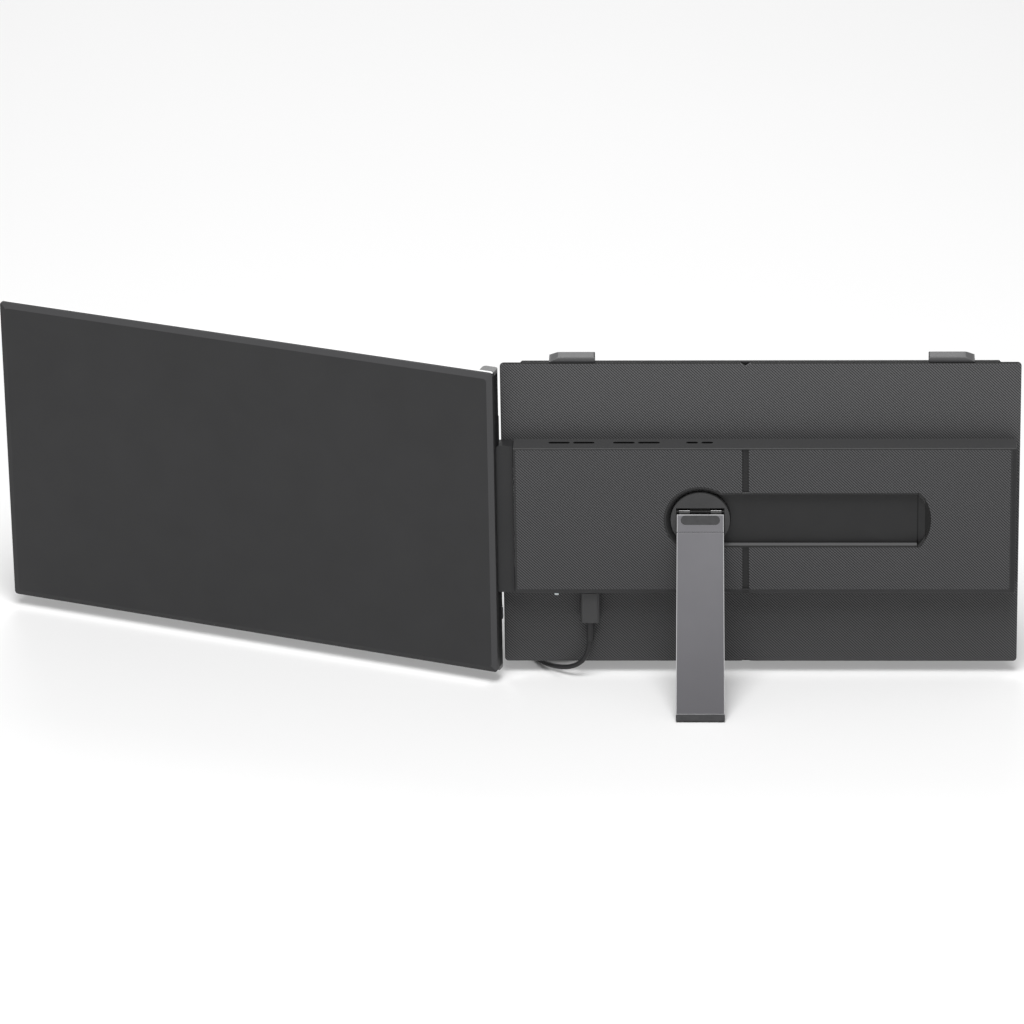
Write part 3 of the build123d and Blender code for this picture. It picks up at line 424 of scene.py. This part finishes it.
finishes = {
    # cover: painted shade, darker towards the bottom; faces that look up are near black
    "cover_paint": topped(
        painted_shade_fade(weave("cover_paint", (0.073, 0.073, 0.075)), "Z", *COVER_SHADE_FADE, BLACK, 0.29),
        (0.004, 0.004, 0.004)),
    "front_black": moulded("front_black", (0.008, 0.008, 0.0085), 0.55, Specular_IOR_Level=0.2),
    "silicone": rubber("silicone", (0.03, 0.03, 0.031), 0.7),
    "screw_steel": steel("screw_steel", (0.16, 0.16, 0.165), 0.4),
    # clips: painted highlight on the top of the roll
    "clip_metal": skylit(
        fine_coat("clip_metal", (0.022, 0.022, 0.023), 0.48, Specular_IOR_Level=0.2),
        (0.15, 0.15, 0.152)),
    "spring_steel": steel("spring_steel", (0.3, 0.3, 0.3), 0.3),
    # band: painted shade in the groove and inside the housing, painted light on faces that look up; the
    # end cap keeps its own darker tone
    "band_plastic": painted_shade_box(topped(banded(banded(
        moulded("band_plastic", (0.026, 0.026, 0.027), 0.5, Specular_IOR_Level=0.3),
        "X", *GROOVE_SHADE, (0.016, 0.016, 0.0165)), "X", *END_CAP, (0.019, 0.019, 0.0197)),
        (0.05, 0.05, 0.051)), HOUSING_INSIDE_SHADE),
    # pads: painted shade, darker towards the bottom
    "band_weave": painted_shade_fade(weave("band_weave", (0.057, 0.057, 0.059)), "Z", *PAD_SHADE_FADE, BLACK, 0.08),
    # tray: painted light on faces that look up; painted shadow on the scoop line, under the trough's top
    # and at the scoop's end
    "tray_plastic": painted_shade_box(painted_shade_box(banded(topped(
        moulded("tray_plastic", (0.019, 0.019, 0.0195), 0.5, Specular_IOR_Level=0.3),
        (0.12, 0.12, 0.122)), "X", *SCOOP_SHADOW_LINE, UNLIT),
        TROUGH_TOP_SHADOW), SCOOP_END_SHADOW),
    "disc_plastic": moulded(
        "disc_plastic", (0.046, 0.046, 0.047), 0.5, 0.7, 0.05, Specular_IOR_Level=0.3),
    "pin_black": fine_coat("pin_black", (0.006, 0.006, 0.006), 0.4, Metallic=0.3),
    # leg: painted shade towards its lower end and a painted highlight on its edge bevels
    "leg_metal": painted_edge_highlight(
        painted_shade_fade(fine_coat("leg_metal", (0.157, 0.155, 0.166), 0.42), "Z", *LEG_SHADE_FADE,
              (0.11, 0.108, 0.117)), leg_normal, (0.55, 0.55, 0.56)),
    "knuckle_metal": steel("knuckle_metal", (0.09, 0.09, 0.09), 0.2),
    "foot_rubber": rubber("foot_rubber", (0.05, 0.05, 0.052), 0.65),
    "arm_metal": fine_coat("arm_metal", (0.026, 0.026, 0.027), 0.45, Specular_IOR_Level=0.3),
    "slider_steel": steel("slider_steel", (0.45, 0.45, 0.45), 0.35),
    "rail_plastic": moulded("rail_plastic", (0.06, 0.06, 0.06), 0.35),
    # screen shell: painted light on the chamfers that face up and to the right
    "screen_shell": painted_slope_light(painted_slope_light(
        fine_coat("screen_shell", (0.031, 0.031, 0.032), 0.5, Specular_IOR_Level=0.25),
        UP, (0.062, 0.062, 0.064)), screen_right, (0.058, 0.058, 0.06)),
    # screen frame: painted highlight, near white on faces that look up
    "screen_frame": topped(moulded("screen_frame", (0.012, 0.012, 0.012), 0.5), (0.85, 0.85, 0.85)),
    "screen_glass": screen_glass("screen_glass"),
    "lcd_dark": moulded("lcd_dark", (0.012, 0.012, 0.014), 0.3),
    "board_green": circuit("board_green"),
    "spine_plastic": moulded("spine_plastic", (0.0095, 0.0095, 0.01), 0.5, Specular_IOR_Level=0.22),
    "spine_cap_grey": moulded("spine_cap_grey", (0.14, 0.14, 0.14), 0.45, 0.6, 0.03),
    "bush_brass": steel("bush_brass", (0.7, 0.5, 0.22), 0.35),
    "button_plastic": moulded("button_plastic", (0.05, 0.05, 0.052), 0.45),
    "port_steel": steel("port_steel", (0.6, 0.6, 0.6), 0.28),
    "led_white": moulded("led_white", (0.85, 0.85, 0.83), 0.25, Subsurface_Weight=0.2),
    "plug_plastic": moulded("plug_plastic", (0.046, 0.046, 0.047), 0.42, Specular_IOR_Level=0.35),
    "cable_jacket": rubber("cable_jacket", (0.02, 0.02, 0.021), 0.45),
    "tie_strap": strap("tie_strap"),
}

cable_curve.materials.append(finishes["cable_jacket"].material)


# CAD nodes: their finish, and the small edge radius that a real moulding or casting has

EDGE_MM = {"arm_knuckle": 0.6, "leg_plate": 0.25, "clip_left": 0.35, "clip_right": 0.35,
           "rear_cover": 0.2, "band_housing": 0.3, "band_end_cap": 0.3,
           "weave_pad_left": 0.15, "weave_pad_right": 0.15, "kickstand_tray": 0.5, "swivel_disc": 0.3,
           "plug_body": 0.6, "far_plug_body": 0.6, "spine_cap_top": 0.4, "spine_cap_bottom": 0.4,
           "leg_foot_pad": 0.3, "front_plate": 0.25, "screen_bezel": 0.2, "display_glass": 0.1}
PLAIN_EDGE_MM = 0.08
CREASED = {"screen_back_cover"}
CREASE_DEG = 10
PLAIN_CREASE_DEG = 32
PLAIN_SEGMENTS = 2
PLAIN_WEIGHT = 100
WELD_M = 1e-6


def weld(piece):
    piece.modifiers.new("weld", "WELD").merge_threshold = WELD_M


def crease(piece):
    piece.modifiers.new("crease", "EDGE_SPLIT").split_angle = math.radians(CREASE_DEG)


def soften(piece, width_mm, segments=PLAIN_SEGMENTS, crease_deg=PLAIN_CREASE_DEG, weight=PLAIN_WEIGHT):
    bevel = piece.modifiers.new("edge", "BEVEL")
    bevel.width = width_mm * MM
    bevel.segments = segments
    bevel.limit_method = "ANGLE"
    bevel.angle_limit = math.radians(crease_deg)
    bevel.use_clamp_overlap = True
    normals = piece.modifiers.new("normals", "WEIGHTED_NORMAL")
    normals.keep_sharp = True
    normals.weight = weight


slot_of = {row["node"]: row["material_slot"] for row in record["subparts"]}
for name, piece in nodes.items():
    finish = finishes[slot_of[name]].material
    for material_slot in piece.material_slots:
        material_slot.material = finish
    piece.data.polygons.foreach_set("use_smooth", [True] * len(piece.data.polygons))
    weld(piece)
    if name in CREASED:
        crease(piece)
    else:
        soften(piece, EDGE_MM.get(name, PLAIN_EDGE_MM))


# clips: one rolled strip each, with the tongue that slides in the plate

CLIP_W = 27.5
CLIP_REAR = -4.2
CLIP_SEAT = 99.8
CLIP_TOP = 102.4
CLIP_ROLL = 4.2
CLIP_REACH = 7.0
CLIP_LIP_T = 1.2
CLIP_LIP_LOW = 94.2
CLIP_NOSE_R = 1.1
CLIP_INNER_TOP = 100.3
CLIP_CUT_W = 5.8
CLIP_CUT_H = 2.2
CLIP_CORNER_R = 0.9
CLIP_ROOF_MIN_T = 0.05
CLIP_ARC_STEPS = 16
CLIP_BEND_STEPS = 6
CLIP_RUN_STEPS = 8
CLIP_EDGE_MM = 0.2
CLIP_SEGMENTS = 3
CLIP_CREASE_DEG = 40
CLIP_WEIGHT = 50
CLIP_X = {"left": -113.0, "right": 114.7}
OUTER_SIDE = {"left": -1, "right": 1}
TONGUE_W = 20.0
TONGUE_Y = (-2.6, -1.3)
TONGUE_LOW = 55.5
TONGUE_CORNER = 1.5


def clip_section():
    """Outline in y and z, from the rear edge over the roll and the nose, and back under the roof."""
    points = []
    for n in range(CLIP_ARC_STEPS + 1):
        a = math.pi - math.pi / 2 * n / CLIP_ARC_STEPS
        points.append((CLIP_REAR + CLIP_ROLL + CLIP_ROLL * math.cos(a),
                       CLIP_SEAT + (CLIP_TOP - CLIP_SEAT) * math.sin(a)))
    for n in range(CLIP_ARC_STEPS // 2 + 1):
        a = math.pi / 2 - math.pi / 2 * n / (CLIP_ARC_STEPS // 2)
        points.append((CLIP_REACH - CLIP_NOSE_R + CLIP_NOSE_R * math.cos(a),
                       CLIP_TOP - CLIP_NOSE_R + CLIP_NOSE_R * math.sin(a)))
    inner_y = CLIP_REACH - CLIP_LIP_T
    points += [(CLIP_REACH, CLIP_LIP_LOW), (inner_y, CLIP_LIP_LOW), (inner_y, CLIP_INNER_TOP),
               (0, CLIP_INNER_TOP), (0, CLIP_SEAT)]
    return points


def clip_ceiling(from_inner):
    """Highest z of the strip at a distance from its inner side."""
    ceiling = CLIP_TOP
    if from_inner < CLIP_CORNER_R:
        ceiling -= CLIP_CORNER_R - math.sqrt(CLIP_CORNER_R ** 2 - (CLIP_CORNER_R - from_inner) ** 2)
    past_cut = from_inner - (CLIP_W - CLIP_CUT_W)
    if past_cut > 0:
        ceiling -= past_cut * CLIP_CUT_H / CLIP_CUT_W
    return max(ceiling, CLIP_INNER_TOP + CLIP_ROOF_MIN_T)


def clip_stations():
    """Distances from the inner side at which the section is drawn."""
    run = range(1, CLIP_RUN_STEPS + 1)
    cut_at = CLIP_W - CLIP_CUT_W
    bend = [CLIP_CORNER_R * (1 - math.cos(math.pi / 2 * n / CLIP_BEND_STEPS))
            for n in range(CLIP_BEND_STEPS + 1)]
    middle = [CLIP_CORNER_R + (cut_at - CLIP_CORNER_R) * n / CLIP_RUN_STEPS for n in run]
    slant = [cut_at + CLIP_CUT_W * n / CLIP_RUN_STEPS for n in run]
    return bend + middle + slant


def tongue_outline():
    half = TONGUE_W / 2
    corner_z = TONGUE_LOW + TONGUE_CORNER
    return [(-half, CLIP_INNER_TOP), (-half, corner_z), (-half + TONGUE_CORNER, TONGUE_LOW),
            (half - TONGUE_CORNER, TONGUE_LOW), (half, corner_z), (half, CLIP_INNER_TOP)]


def clip_piece(side):
    name = f"clip_{side}_strip"
    x = CLIP_X[side]
    outer_side = OUTER_SIDE[side]
    form = bmesh.new()
    rings = []
    for along in clip_stations():
        at = x + outer_side * (along - CLIP_W / 2)
        ceiling = clip_ceiling(along)
        rings.append([form.verts.new(mm(at, y, min(z, ceiling))) for y, z in clip_section()])
    for ring, following in zip(rings, rings[1:]):
        for n in range(len(ring)):
            m = (n + 1) % len(ring)
            form.faces.new((ring[n], ring[m], following[m], following[n]))
    form.faces.new(rings[0][::-1])
    form.faces.new(rings[-1])
    near, far = ([form.verts.new(mm(x + dx, y, z)) for dx, z in tongue_outline()] for y in TONGUE_Y)
    form.faces.new(near)
    form.faces.new(far[::-1])
    for n in range(len(near)):
        m = (n + 1) % len(near)
        form.faces.new((near[m], near[n], far[n], far[m]))
    bmesh.ops.recalc_face_normals(form, faces=form.faces)
    for face in form.faces:
        face.smooth = True
    mesh = bpy.data.meshes.new(name)
    form.to_mesh(mesh)
    form.free()
    piece = bpy.data.objects.new(name, mesh)
    scene.collection.objects.link(piece)
    mesh.materials.append(finishes["clip_metal"].material)
    soften(piece, CLIP_EDGE_MM, CLIP_SEGMENTS, CLIP_CREASE_DEG, CLIP_WEIGHT)
    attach(piece, f"{side}_clip")
    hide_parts(f"clip_{side}")


clip_piece("left")
clip_piece("right")


# stage

DESK_Z = -108.07
FLOOR_HALF_M = 6
# name: place, aim and diameter in metres, power in watts
LAMPS = {
    "key": ((-0.15, -1.05, 2.27), (-0.15, 0, 0), 1.7, 62),
    "front": ((-0.3, 1.9, 1.7), (-0.1, 0, 0), 1.4, 16),
}
SKY_STRENGTH = 0.33

floor_mesh = bpy.data.meshes.new("floor")
floor_form = bmesh.new()
bmesh.ops.create_grid(floor_form, x_segments=1, y_segments=1, size=FLOOR_HALF_M)
floor_form.to_mesh(floor_mesh)
floor_form.free()
floor = bpy.data.objects.new("floor", floor_mesh)
floor.location = mm(0, 0, DESK_Z)
scene.collection.objects.link(floor)
floor_finish = Shader("floor", (0.9, 0.9, 0.9), 0.9)
floor_finish.tint(floor_finish.noise(2, 2), 0.005)
floor_mesh.materials.append(floor_finish.material)


def area_light(name, at, aim, size, power):
    data = bpy.data.lights.new(name, "AREA")
    data.shape = "DISK"
    data.size = size
    data.energy = power
    lamp = bpy.data.objects.new(name, data)
    lamp.location = at
    lamp.rotation_euler = (Vector(aim) - Vector(at)).to_track_quat("-Z", "Y").to_euler()
    scene.collection.objects.link(lamp)


for lamp_name, (lamp_at, lamp_aim, lamp_size, lamp_power) in LAMPS.items():
    area_light(lamp_name, lamp_at, lamp_aim, lamp_size, lamp_power)
world = bpy.data.worlds.new("studio")
scene.world = world
world.use_nodes = True
sky = world.node_tree.nodes["Background"]
sky.inputs["Color"].default_value = (1, 1, 1, 1)
sky.inputs["Strength"].default_value = SKY_STRENGTH
scene.view_settings.view_transform = "Standard"
